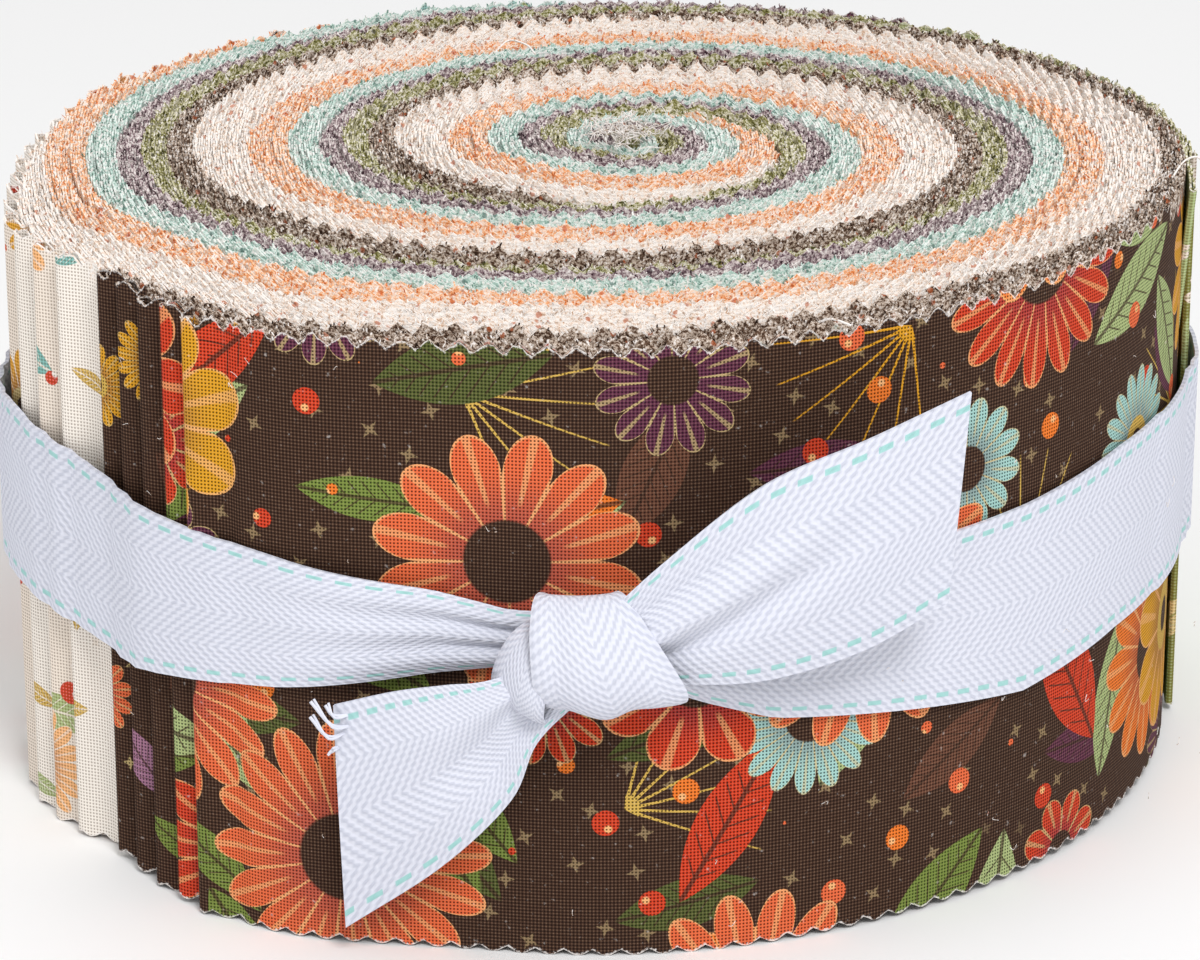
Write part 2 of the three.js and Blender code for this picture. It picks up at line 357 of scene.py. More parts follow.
def sheet_path(k, turned, middle):
    """The folded sheet's path: out along the outer layer, round the nose, and back inside."""
    place, at, valley = strip_course(k, turned, middle)
    along = unit(np.gradient(place, axis=0))
    out = np.stack([-along[:, 1], along[:, 0]], 1)
    if np.sum(out[-1] * (place[-1] - CENTRE)) < 0:
        out = -out
    to_fold = at[-1] - at
    dip = PUFF_DIP * np.exp(-((to_fold - PUFF_DIP_PLACE) ** 2))
    puff = PUFF * smooth(1 - to_fold / PUFF_LENGTH) - dip
    if k >= STRIP_COUNT - TIGHT_FOLDS:
        puff = TIGHT_PUFF * puff
    outer = place + out * (LAYER / 2 + puff)[:, None]
    inner = place - out * LAYER / 2
    rise = (LAYER + puff[-1]) / 2
    heart = (outer[-1] + inner[-1]) / 2
    nose, nose_out = [], []
    for angle in np.radians(NOSE_ANGLES):
        way = out[-1] * math.cos(angle) + along[-1] * math.sin(angle)
        nose.append(heart + way * rise)
        nose_out.append(way)
    path = np.concatenate([outer, nose, inner[::-1]])
    side = np.concatenate([out, nose_out, -out[::-1]])
    run = np.concatenate([[0], np.cumsum(np.linalg.norm(np.diff(path, axis=0), axis=1))])
    notch = np.concatenate([valley, np.full(len(nose), 0.5), valley[::-1]])
    return path, side, run, notch


def closed_sheet(print_side, back_side, uv, materials):
    """A thin closed sheet from two grids of points, stations by rows. Its edge has the second material."""
    stations, rows, _ = print_side.shape
    ring = np.concatenate([print_side, back_side[:, ::-1]], axis=1)
    ring_uv = np.concatenate([uv, uv[:, ::-1]], axis=1)
    around = 2 * rows
    j = np.arange(stations - 1)[:, None] * around
    i = np.arange(around)[None, :]
    following = (i + 1) % around
    faces = np.stack([j + i, j + following, j + around + following, j + around + i], -1).reshape(-1, 4)
    kind = np.full(around, materials[0])
    kind[rows - 1] = kind[-1] = materials[1]
    kinds = np.tile(kind, stations - 1)
    low = np.arange(rows - 1)
    first_cap = np.stack([low, around - 1 - low, around - 2 - low, low + 1], -1)
    end = (stations - 1) * around
    last_cap = end + np.stack([low + 1, around - 2 - low, around - 1 - low, low], -1)
    faces = np.concatenate([faces, first_cap, last_cap])
    kinds = np.concatenate([kinds, np.full(2 * (rows - 1), materials[1])])
    return {"points": ring.reshape(-1, 3), "faces": [(faces, kinds)], "uv": ring_uv.reshape(-1, 2)}


def fray(edge, along, material):
    """Short bent yarn ends that stand on a cut edge. Each is three-sided and closed."""
    reach = np.concatenate([[0], np.cumsum(np.linalg.norm(np.diff(edge, axis=0), axis=1))])
    count = int(reach[-1] / FRAY_SPACING)
    at = rng.uniform(0, reach[-1], count)
    foot = np.stack([np.interp(at, reach, edge[:, axis]) for axis in range(3)], 1)
    way = np.stack([np.interp(at, reach, along[:, axis]) for axis in range(2)], 1)
    across = np.stack([-way[:, 1], way[:, 0]], 1)
    tall = rng.uniform(*FRAY_LENGTH, count)
    lean = rng.normal(0, FRAY_LEAN, (count, 2))
    curl = rng.normal(0, FRAY_CURL, (count, 2))
    tilt = way * lean[:, :1] + across * lean[:, 1:]
    turn = way * curl[:, :1] + across * curl[:, 1:]
    up = np.stack([tilt[:, 0], tilt[:, 1], np.ones(count)], 1) * (0.7 * tall)[:, None]
    onward = np.stack([turn[:, 0], turn[:, 1], np.full(count, 0.4)], 1) * (0.35 * tall)[:, None]
    foot = foot - [0, 0, FRAY_ROOT]
    knee = foot + up + [0, 0, FRAY_KNEE]
    tip = knee + onward
    thick = rng.uniform(*FRAY_RADIUS, count)[:, None]
    turn_of = rng.uniform(0, 2 * math.pi, count)
    points = []
    for centre, share in ((foot, 1.0), (knee, 0.8)):
        for corner in range(3):
            angle = turn_of + corner * 2 * math.pi / 3
            ring = np.stack([np.cos(angle), np.sin(angle), np.zeros(count)], 1)
            points.append(centre + ring * thick * share)
    points.append(tip)
    points = np.stack(points, 1).reshape(-1, 3)
    base = (7 * np.arange(count))[:, None]
    walls = [base + [a, b, b + 3, a + 3] for a, b in ((0, 1), (1, 2), (2, 0))]
    caps = [base + [2, 1, 0], base + [3, 4, 6], base + [4, 5, 6], base + [5, 3, 6]]
    return {
        "points": points,
        "faces": [(np.concatenate(walls), material), (np.concatenate(caps), material)],
        "uv": np.zeros((len(points), 2)),
        "tone": np.repeat(np.minimum(rng.uniform(0.0, 1.15, count), LOOSE_TONE), 7),
    }


def thread(points, radius, material, tone=LOOSE_TONE, sides=4):
    """A closed tube along a few points. On the ribbon its colour is that between the dashed lines."""
    course = catmull(points, 3 * len(points))
    along = unit(np.gradient(course, axis=0))
    side = unit(np.cross(along, [0.31, 0.22, 0.92]))
    other = np.cross(along, side)
    count = len(course)
    angle = 2 * math.pi * np.arange(sides) / sides
    ring = side[:, None] * np.cos(angle)[None, :, None] + other[:, None] * np.sin(angle)[None, :, None]
    tube = (course[:, None] + radius * ring).reshape(-1, 3)
    j = np.arange(count - 1)[:, None] * sides
    i = np.arange(sides)[None, :]
    following = (i + 1) % sides
    walls = np.stack([j + i, j + following, j + sides + following, j + sides + i], -1).reshape(-1, 4)
    caps = np.array([np.arange(sides)[::-1], (count - 1) * sides + np.arange(sides)])
    return {
        "points": tube,
        "faces": [(walls, material), (caps, material)],
        "uv": np.tile([0.0, RIBBON_WIDTH / 3], (len(tube), 1)),
        "tone": np.full(len(tube), tone),
    }


def loose_fibres(material):
    """Lint on the outside, a few loose threads on the rim, and a tuft at the core."""
    parts = []
    for points in RIM_THREADS:
        parts.append(thread(points, THREAD_RADIUS, material))
    for _ in range(LINT_COUNT):
        azimuth = math.radians(rng.uniform(*LINT_AZIMUTHS))
        arm = np.array([math.cos(azimuth), math.sin(azimuth)])
        along = np.array([-arm[1], arm[0]])
        turned = np.array([FIRST_FOLD_AZIMUTH - math.degrees(azimuth) + 360])
        spot = wound_point(turned, np.array([OUTER_RADIUS]))[0]
        foot = np.append(spot + arm * LINT_OFF, rng.uniform(*LINT_HEIGHTS))
        size = rng.uniform(*LINT_SIZE)
        way = np.append(along * rng.normal(0, 1), rng.normal(0, 1)) * size
        bend = np.append(along * rng.normal(0, 1), rng.normal(0, 1)) * size * 0.5
        knee = foot + 0.5 * way + np.append(arm, 0) * LINT_OFF / 2 + bend
        parts.append(thread([foot, knee, foot + way], LINT_RADIUS, material, LINT_TONE, 3))
    for _ in range(TUFT_COUNT):
        foot = np.append(CENTRE + rng.normal(0, 1, 2) * TUFT_SPREAD, TUFT_HEIGHT)
        way = rng.normal(0, 1, 3) * TUFT_REACH
        bend = rng.normal(0, 0.5, 3) * [1, 1, 0.5]
        knee = foot + 0.5 * way + bend + [0, 0, 0.4]
        parts.append(thread([foot, knee, foot + way], TUFT_RADIUS, material, sides=3))
    return parts


def lean_flap(points):
    """The outermost end stands off at its top corner only, and its lower corner lies farther back."""
    arm = points[:, :2] - CENTRE
    radius = np.linalg.norm(arm, axis=1)
    azimuth = np.degrees(np.arctan2(arm[:, 1], arm[:, 0]))
    end = FIRST_FOLD_AZIMUTH - FOLDS[-1] + 360
    span = math.degrees(FLAP_LENGTH / OUTER_RADIUS)
    outside = (np.abs(azimuth - end) < 90) & (radius > OUTER_RADIUS - PITCH / 2)
    lifted = np.where(outside, np.clip((end + span - azimuth) / span, 0, 1), 0)
    drawn = np.where(outside, np.clip((end + FLAP_TURN - azimuth) / FLAP_TURN, 0, 1), 0)
    down = np.clip(1 - points[:, 2] / STRIP_WIDTH, 0, 1)
    shift = (FLAP_BACK + FLAP_LEAN * down) * drawn
    azimuth = np.radians(azimuth + shift)
    radius = radius - FLAP_LIFT * down * lifted**2 - PITCH * shift / 360
    points[:, 0] = CENTRE[0] + radius * np.cos(azimuth)
    points[:, 1] = CENTRE[1] + radius * np.sin(azimuth)


def make_strip(k, turned, middle, reach, materials):
    path, side, run, notch = sheet_path(k, turned, middle)
    wave = sum(height * np.sin(run / length + rng.uniform(0, 6)) for height, length in WAVES)
    rise = BROWN_RISE if FAMILY_OF[k] == "brown" else 0
    low = np.maximum(top_lift(path) + rng.uniform(-UNEVEN, UNEVEN) + rise + wave, 0)
    ragged = TOOTH_UNEVEN * rng.normal(0, 1, len(run))
    depth = TOOTH_DEPTH if k < ROUNDED_STRIPS else INNER_TOOTH_DEPTH
    high = low + STRIP_WIDTH - depth * notch + ragged * (1 - notch)
    low = low + LOWER_TOOTH * depth * notch
    heights = np.stack([low, high], 1)
    half = side * CLOTH / 2
    grids = []
    for face in (path + half, path - half):
        grid = np.empty((len(path), 2, 3))
        grid[:, :, :2] = face[:, None, :]
        grid[:, :, 2] = heights
        grids.append(grid)
    uv = np.stack([np.repeat(run[:, None], 2, 1) + PRINT_SHIFT * k, heights], -1)
    sheet = closed_sheet(grids[0], grids[1], uv, (0, 1))
    arm = path - CENTRE
    azimuth = np.degrees(np.arctan2(arm[:, 1], arm[:, 0])) - 0.5
    outline = np.interp(azimuth, np.arange(360), reach, period=360)
    outside = smooth((np.linalg.norm(arm, axis=1) - outline + SHOWN_DEPTH) / SHOWN_FADE)
    sheet["shown"] = np.repeat(outside, 4)
    # Tone 0 along the foot and 1 along the top: the cut edge at the foot takes more painted shade, and the
    # print reads the tone as the height
    sheet["tone"] = np.tile([0.0, 1.0, 1.0, 0.0], len(path))
    edge = np.concatenate([path, high[:, None]], 1)
    along = unit(np.gradient(path, axis=0))
    parts = [sheet, fray(edge, along, 1)]
    if k == STRIP_COUNT - 1:
        for part in parts:
            lean_flap(part["points"])
    if k == 0:
        parts += loose_fibres(1)
    piece = add_mesh(f"strip_{k + 1:02d}", parts, materials)
    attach(piece, "root")
    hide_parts("strip_roll")


# Materials


class Shade:
    """Short names for the nodes of one material."""

    def __init__(self, name):
        self.material = bpy.data.materials.new(name)
        self.material.use_nodes = True
        self.tree = self.material.node_tree
        self.surface = self.tree.nodes["Principled BSDF"]

    def put(self, socket, value):
        if isinstance(value, bpy.types.NodeSocket):
            self.tree.links.new(value, socket)
        else:
            socket.default_value = value

    def node(self, kind, inputs=None, **settings):
        node = self.tree.nodes.new(kind)
        for key, value in settings.items():
            setattr(node, key, value)
        for key, value in (inputs or {}).items():
            self.put(node.inputs[key], value)
        return node

    def math(self, operation, *values):
        node = self.node("ShaderNodeMath", operation=operation)
        for socket, value in zip(node.inputs, values):
            self.put(socket, value)
        return node.outputs[0]

    def times(self, first, second):
        return self.math("MULTIPLY", first, second)

    def minus(self, first, second):
        return self.math("SUBTRACT", first, second)

    def vector(self, operation, *values):
        node = self.node("ShaderNodeVectorMath", operation=operation)
        for socket, value in zip(node.inputs, values):
            self.put(socket, value)
        return node.outputs["Value" if operation == "LENGTH" else "Vector"]

    def scaled(self, vector, factor):
        node = self.node("ShaderNodeVectorMath", operation="SCALE")
        self.put(node.inputs[0], vector)
        self.put(node.inputs["Scale"], factor)
        return node.outputs["Vector"]

    def turned(self, vector, angle):
        node = self.node("ShaderNodeVectorRotate", rotation_type="Z_AXIS")
        self.put(node.inputs["Vector"], vector)
        self.put(node.inputs["Angle"], angle)
        return node.outputs["Vector"]

    def mix(self, factor, first, second):
        node = self.node("ShaderNodeMix", data_type="RGBA")
        self.put(node.inputs["Factor"], factor)
        self.put(node.inputs[6], first)
        self.put(node.inputs[7], second)
        return node.outputs[2]

    def step(self, value, low, high):
        """0 below low and 1 above high."""
        node = self.node("ShaderNodeMapRange", interpolation_type="SMOOTHSTEP")
        self.put(node.inputs[0], value)
        self.put(node.inputs[1], low)
        self.put(node.inputs[2], high)
        return node.outputs[0]

    def pick(self, value, palette):
        """One colour of a palette by a value of 0 to 1."""
        node = self.node("ShaderNodeValToRGB", {"Fac": value})
        ramp = node.color_ramp
        ramp.interpolation = "CONSTANT"
        while len(ramp.elements) < len(palette):
            ramp.elements.new(1.0)
        for i, rgb in enumerate(palette):
            ramp.elements[i].position = i / len(palette)
            ramp.elements[i].color = linear(rgb)
        return node.outputs["Color"]

    def finish(self, colour, roughness, height=None, distance=0.0001, strength=0.6):
        self.put(self.surface.inputs["Base Color"], colour)
        self.put(self.surface.inputs["Roughness"], roughness)
        self.put(self.surface.inputs["Specular IOR Level"], 0.15)
        if height is not None:
            bump = self.node("ShaderNodeBump", {"Strength": strength, "Distance": distance, "Height": height})
            self.put(self.surface.inputs["Normal"], bump.outputs[0])
        return self.material


# The prints: generic flowers, leaves, berries and stars, strewn by a cell pattern.
# Colours are sRGB, and sizes are in millimetres on the cloth.
BARK = (66, 44, 33)
MUSTARD = (224, 160, 32)
GOLD = (214, 176, 84)
ORANGE = (240, 122, 40)
RED = (212, 62, 32)
APRICOT = (250, 186, 124)
CORAL = (234, 106, 62)
WHEAT = (216, 192, 132)
PLUM = (96, 46, 70)
MAUVE = (164, 116, 144)
LEAF = (118, 138, 62)
SAGE = (172, 188, 128)
MINT = (165, 211, 204)
TEAL = (118, 178, 170)
CREAM = (243, 230, 216)
IVORY = (250, 242, 232)
OLIVE = (132, 136, 66)
MOSS = (82, 92, 44)
FERN = (98, 104, 44)
RUSSET = (104, 66, 50)
UMBER = (92, 58, 44)
SAND = (158, 134, 98)
GRAPE = (128, 78, 104)

# Each family has two prints. A print has its ground, and its layers from the bottom up. A layer
# has its motif, spacing, size and colours, and the colour of its lines.
PRINTS = {
    "brown": [
        (BARK, [
            ("star", 5.2, 1.15, [WHEAT, WHEAT], SAND),
            ("sprig", 43, 15, [GOLD, MUSTARD], BARK),
            ("leaf", 22, 7.5, [MOSS, PLUM, LEAF, RUSSET], BARK),
            ("leaf", 25, 9.0, [LEAF, MOSS, SAGE, PLUM], BARK),
            ("leaf", 31, 10.0, [ORANGE, SAGE, RED, LEAF], BARK),
            ("berry", 8.5, 1.4, [RED, ORANGE, CORAL, RED], APRICOT),
            ("daisy", 33, 8.0, [PLUM, RED, MINT, MAUVE], WHEAT),
            ("daisy", 53, 13.0, [RED, ORANGE, CORAL, RED], APRICOT),
            ("daisy", 45, 14.5, [MUSTARD, CORAL, MUSTARD, ORANGE], APRICOT),
        ]),
        (BARK, [
            ("leaf", 19, 5.0, [PLUM, UMBER, LEAF, MAUVE], BARK),
            ("daisy", 22, 5.0, [GOLD, MUSTARD, CORAL, MUSTARD], WHEAT),
            ("star", 14, 1.0, [WHEAT, APRICOT], WHEAT),
        ]),
    ],
    "cream": [
        (CREAM, [
            ("leaf", 19, 5.5, [LEAF, SAGE, MUSTARD, TEAL], CREAM),
            ("berry", 11, 1.3, [RED, MUSTARD, CORAL, PLUM], IVORY),
            ("daisy", 24, 6.5, [CORAL, APRICOT, MUSTARD, RED], CREAM),
        ]),
        (IVORY, [
            ("leaf", 13, 3.0, [SAGE, GOLD, TEAL, GOLD], IVORY),
            ("star", 7.5, 0.9, [CORAL, GOLD], CREAM),
        ]),
    ],
    "peach": [
        (APRICOT, [
            ("leaf", 15, 4.5, [IVORY, ORANGE, IVORY, GOLD], APRICOT),
            ("daisy", 21, 4.6, [IVORY, CORAL, CREAM, ORANGE], APRICOT),
        ]),
        (ORANGE, [
            ("leaf", 12, 3.4, [APRICOT, GOLD, CREAM, RED], ORANGE),
            ("star", 7, 0.9, [CREAM, CREAM], CREAM),
        ]),
    ],
    "teal": [
        (MINT, [
            ("leaf", 14, 4.2, [IVORY, TEAL, IVORY, CORAL], MINT),
            ("daisy", 20, 4.4, [IVORY, TEAL, APRICOT, IVORY], MINT),
        ]),
        (TEAL, [
            ("leaf", 12, 3.2, [MINT, IVORY, MINT, SAGE], TEAL),
            ("star", 7, 0.9, [IVORY, IVORY], IVORY),
        ]),
    ],
    "plum": [
        (PLUM, [
            ("leaf", 15, 4.4, [MAUVE, GRAPE, SAGE, MAUVE], PLUM),
            ("daisy", 21, 4.8, [MAUVE, APRICOT, MAUVE, WHEAT], PLUM),
        ]),
        (MAUVE, [
            ("leaf", 12, 3.2, [PLUM, CREAM, PLUM, CREAM], MAUVE),
            ("star", 7, 0.9, [CREAM, CREAM], CREAM),
        ]),
    ],
    "green": [
        (OLIVE, [
            ("leaf", 15, 4.6, [SAGE, FERN, SAGE, WHEAT], OLIVE),
            ("daisy", 22, 4.8, [CREAM, MUSTARD, APRICOT, CREAM], OLIVE),
        ]),
        (SAGE, [
            ("leaf", 13, 3.6, [LEAF, CREAM, LEAF, CREAM], SAGE),
            ("berry", 9, 0.9, [CREAM, CORAL, CREAM, LEAF], CREAM),
        ]),
    ],
}
JITTER = 0.42

# The weave: its pitch, the painted shade in the holes and the raised yarns of dark cloth, and those of pale
# cloth
WEAVE_PITCH = 0.36
HOLE_PAINTED_SHADE_DARK = (22, 12, 9)
YARN_DARK = (176, 146, 120)
HOLE_PAINTED_SHADE_PALE = (104, 74, 54)
LINT_WHITE = (246, 240, 236)

# The cut yarns of each family: in the shade, dyed and pale
EDGE_TINTS = {
    "brown": ((42, 26, 18), (98, 74, 58), (202, 184, 168)),
    "cream": ((206, 172, 146), (246, 229, 215), (253, 248, 243)),
    "peach": ((222, 122, 60), (245, 183, 134), (252, 230, 212)),
    "teal": ((112, 146, 134), (184, 210, 199), (235, 242, 237)),
    "plum": ((58, 38, 46), (136, 112, 118), (216, 202, 200)),
    "green": ((66, 64, 26), (140, 136, 78), (218, 212, 182)),
}
# Where the speckle turns from shade to dyed, from dyed to pale, and from pale to lint
SPECKLE = ((0.43, 0.52), (0.55, 0.65), (0.68, 0.76))
GRAIN = {"Scale": 2.6, "Detail": 2.5, "Roughness": 0.75}
FLECKS = {
    "brown": (170, 88, 48),
    "cream": (204, 122, 84),
    "peach": (206, 100, 52),
    "teal": (98, 130, 122),
    "plum": (52, 34, 44),
    "green": (62, 60, 34),
}


class Motif:
    """One motif a cell: its own x and y in millimetres, and three random values."""

    def __init__(self, shade, cloth, spacing, shift):
        slanted = shade.turned(cloth, 0.35 + shift)
        spread = shade.vector("MULTIPLY_ADD", slanted, (1 / spacing,) * 3, (3.7 * shift, 1.9 * shift, 0))
        cell = shade.node(
            "ShaderNodeTexVoronoi",
            {"Vector": spread, "Scale": 1.0, "Randomness": JITTER},
            voronoi_dimensions="2D",
        )
        away = shade.scaled(shade.vector("SUBTRACT", spread, cell.outputs["Position"]), spacing)
        chance = shade.node("ShaderNodeSeparateColor", {"Color": cell.outputs["Color"]})
        self.turn, self.size, self.hue = chance.outputs
        self.place = shade.turned(away, shade.times(self.turn, 2 * math.pi))
        self.reach = shade.vector("LENGTH", self.place)
        axes = shade.node("ShaderNodeSeparateXYZ", {"Vector": self.place})
        self.x, self.y = axes.outputs[0], axes.outputs[1]


def daisy(shade, motif, size, palette, line):
    grown = shade.math("MULTIPLY_ADD", motif.size, 0.3 * size, 0.8 * size)
    angle = shade.math("ARCTAN2", motif.y, motif.x)
    petals = shade.math("MULTIPLY_ADD", shade.math("FLOOR", shade.times(motif.size, 2.99)), 2.0, 4.0)
    lobe = shade.math("ABSOLUTE", shade.math("COSINE", shade.times(angle, petals)))
    share = shade.math("MULTIPLY_ADD", shade.math("POWER", lobe, 0.55), 0.36, 0.62)
    inside = shade.minus(shade.times(grown, share), motif.reach)
    near = shade.math("DIVIDE", motif.reach, grown)
    vein = shade.times(shade.step(lobe, 0.965, 0.99), shade.step(near, 0.4, 0.5))
    rim = shade.minus(1.0, shade.step(inside, 0.012 * size, 0.035 * size))
    parting = shade.minus(1.0, shade.step(lobe, 0.1, 0.24))
    lines = shade.math("MAXIMUM", shade.math("MAXIMUM", rim, parting), shade.times(vein, 0.7))
    petal = shade.pick(motif.hue, palette)
    shadow = shade.mix(0.45, petal, linear(PLUM))
    petal = shade.mix(shade.step(near, 0.75, 0.3), petal, shadow)
    petal = shade.mix(shade.times(lines, 0.75), petal, linear(line))
    ring = shade.step(near, 0.33, 0.3)
    heart = shade.pick(motif.turn, [BARK, GOLD, BARK, WHEAT])
    petal = shade.mix(ring, petal, heart)
    petal = shade.mix(shade.step(near, 0.17, 0.14), petal, linear(BARK))
    return shade.step(inside, 0.0, 0.1), petal


def leaf(shade, motif, size, palette, line):
    along = shade.math("DIVIDE", motif.x, size)
    swell = shade.minus(1.0, shade.times(along, along))
    wide = shade.math("MULTIPLY_ADD", motif.size, 0.12 * size, 0.3 * size)
    off = shade.math("ABSOLUTE", motif.y)
    inside = shade.minus(shade.times(swell, wide), off)
    slant = shade.math("DIVIDE", shade.minus(motif.x, off), 0.2 * size)
    veins = shade.math("ABSOLUTE", shade.minus(shade.math("FRACT", slant), 0.5))
    vein = shade.times(shade.step(veins, 0.09, 0.04), shade.step(inside, 0.05 * size, 0.09 * size))
    rib = shade.step(off, 0.035 * size, 0.015 * size)
    blade = shade.pick(motif.hue, palette)
    blade = shade.mix(shade.times(shade.math("MAXIMUM", vein, rib), 0.8), blade, linear(line))
    return shade.step(inside, 0.0, 0.1), blade


def berry(shade, motif, size, palette, line):
    shine = shade.vector("LENGTH", shade.vector("SUBTRACT", motif.place, (0.4 * size, 0.3 * size, 0)))
    skin = shade.pick(motif.hue, palette)
    skin = shade.mix(shade.step(shine, 0.35 * size, 0.2 * size), skin, linear(line))
    grown = shade.times(shade.step(motif.size, 0.35, 0.75), size)
    return shade.step(shade.minus(grown, motif.reach), 0.0, 0.1), skin


def star(shade, motif, size, palette, line):
    across = shade.math("ABSOLUTE", motif.x)
    up = shade.math("ABSOLUTE", motif.y)
    long = shade.math("MAXIMUM", across, up)
    short = shade.math("MINIMUM", across, up)
    taper = shade.math("MULTIPLY_ADD", long, -0.34, 0.34 * size)
    inside = shade.minus(taper, short)
    kept = shade.step(motif.size, 0.2, 0.25)
    return shade.times(shade.times(shade.step(inside, 0.0, 0.1), kept), 0.75), linear(line)


def sprig(shade, motif, size, palette, line):
    angle = shade.math("ARCTAN2", motif.y, motif.x)
    ray = shade.math("ABSOLUTE", shade.math("SINE", shade.times(angle, 11.0)))
    wide = shade.math("DIVIDE", 1.6, shade.math("MAXIMUM", motif.reach, 1.0))
    drawn = shade.step(shade.minus(wide, ray), 0.0, 0.12)
    fan = shade.step(shade.math("ABSOLUTE", angle), 1.05, 1.0)
    short = shade.step(motif.reach, size, 0.95 * size)
    return shade.times(shade.times(drawn, fan), short), shade.pick(motif.hue, palette)


MOTIFS = {"daisy": daisy, "leaf": leaf, "berry": berry, "star": star, "sprig": sprig}


def woven(shade, cloth, colour, dark):
    """Plain weave: painted shade in the holes where four yarns meet, raised pale crossings, and fine lint."""
    waves = shade.scaled(cloth, 2 * math.pi / WEAVE_PITCH)
    uneven = shade.node("ShaderNodeTexNoise", {"Vector": cloth, "Scale": 1.3, "Detail": 2.0})
    axes = shade.node("ShaderNodeSeparateXYZ", {"Vector": waves})
    warp = shade.math("MULTIPLY_ADD", shade.math("COSINE", axes.outputs[0]), 0.5, 0.5)
    weft = shade.math("MULTIPLY_ADD", shade.math("COSINE", axes.outputs[1]), 0.5, 0.5)
    hole = shade.times(warp, weft)
    crossing = shade.times(shade.minus(1.0, warp), shade.minus(1.0, weft))
    seen = shade.times(shade.step(crossing, 0.3, 0.95), uneven.outputs["Fac"])
    colour = shade.mix(shade.times(seen, 0.5), colour, linear(YARN_DARK if dark else LINT_WHITE))
    # Painted shade: the holes between the yarns are darkened
    hole_painted_shade = shade.times(shade.step(hole, 0.08, 0.7), 0.85 if dark else 0.6)
    colour = shade.mix(hole_painted_shade, colour, linear(HOLE_PAINTED_SHADE_DARK if dark else HOLE_PAINTED_SHADE_PALE))
    fluff = shade.times(shade.step(uneven.outputs["Fac"], 0.66, 0.8), 0.3)
    colour = shade.mix(fluff, colour, linear(LINT_WHITE))
    return colour, shade.minus(shade.times(crossing, 0.6), hole)


def cut_yarns(shade, family, tone):
    """The speckle of cut yarns: dyed on one side, pale inside, with lint and flecks, and painted shade
    between them.
    """
    place = shade.scaled(shade.node("ShaderNodeTexCoord").outputs["Object"], 1 / MM)
    grain = shade.node("ShaderNodeTexNoise", {"Vector": place, **GRAIN})
    patch = shade.node("ShaderNodeTexNoise", {"Vector": place, "Scale": 0.6, "Detail": 2.0})
    painted_shade_tint, dyed, pale = EDGE_TINTS[family]
    if isinstance(tone, bpy.types.NodeSocket):
        sheet_edge = shade.times(shade.step(tone, 0.93, 0.97), 0.5)
        tone = shade.minus(tone, sheet_edge)
    mixed = shade.math("ADD", grain.outputs["Fac"], shade.math("MULTIPLY_ADD", tone, 0.42, -0.2))
    mixed = shade.math("MULTIPLY_ADD", patch.outputs["Fac"], 0.2, mixed)
    # Painted shade where the speckle is lowest, then dyed, pale and lint
    colour = linear(painted_shade_tint)
    for (low, high), lighter in zip(SPECKLE, (dyed, pale, LINT_WHITE)):
        colour = shade.mix(shade.step(mixed, low, high), colour, linear(lighter))
    cell = shade.node("ShaderNodeTexVoronoi", {"Vector": place, "Scale": 0.85}, voronoi_dimensions="3D")
    fleck = shade.step(cell.outputs["Distance"], 0.3, 0.22)
    chance = shade.node("ShaderNodeSeparateColor", {"Color": cell.outputs["Color"]})
    rare = shade.times(shade.step(chance.outputs[0], 0.66, 0.7), 0.75)
    colour = shade.mix(shade.times(fleck, rare), colour, linear(FLECKS[family]))
    return colour, grain.outputs["Fac"]


def print_cloth(family, version):
    """The print, with pale cut edges. Where the cloth is covered, its top is frayed and speckled."""
    shade = Shade(f"print_{family}_{version + 1}")
    ground, layers = PRINTS[family][version]
    cloth = shade.scaled(shade.node("ShaderNodeTexCoord").outputs["UV"], 1 / MM)
    colour = linear(ground)
    for i, (kind, spacing, size, palette, line) in enumerate(layers):
        motif = Motif(shade, cloth, spacing, 0.8 * (i + 1) + 0.37 * version)
        mask, paint = MOTIFS[kind](shade, motif, size, palette, line)
        colour = shade.mix(mask, colour, paint)
    colour, height = woven(shade, cloth, colour, family in ("brown", "plum"))
    up = shade.node("ShaderNodeAttribute", attribute_name="tone").outputs["Fac"]
    shown = shade.node("ShaderNodeAttribute", attribute_name="shown").outputs["Fac"]
    from_top = shade.times(shade.minus(1.0, up), STRIP_WIDTH)
    from_edge = shade.math("MINIMUM", from_top, shade.times(up, STRIP_WIDTH))
    yarns, grain = cut_yarns(shade, family, 0.5)
    ragged = shade.math("MULTIPLY_ADD", grain, 1.0, from_edge)
    colour = shade.mix(shade.times(shade.step(ragged, 0.72, 0.5), 0.75), colour, linear(LINT_WHITE))
    covered = shade.times(shade.minus(1.0, shown), shade.step(from_top, 2.4, 1.6))
    colour = shade.mix(covered, colour, yarns)
    return shade.finish(colour, 0.92, height, distance=0.00006, strength=0.5)


def cut_edge(family):
    shade = Shade(f"edge_{family}")
    tone = shade.node("ShaderNodeAttribute", attribute_name="tone").outputs["Fac"]
    colour, grain = cut_yarns(shade, family, tone)
    return shade.finish(colour, 0.95, grain, distance=0.0002, strength=0.5)


# The ribbon's twill, the painted shade in its grooves, and its dashed line
CHEVRON = 4.75
TWILL = 1.15
RIBBON_YARN = 0.62
RIBBON_GROOVE_PAINTED_SHADE = (202, 205, 219)
RIBBON_WHITE = (224, 226, 238)
DASH_INSET = 1.25
DASH_PITCH = 2.7
DASH_LENGTH = 1.5
DASH_COLOUR = (152, 210, 204)


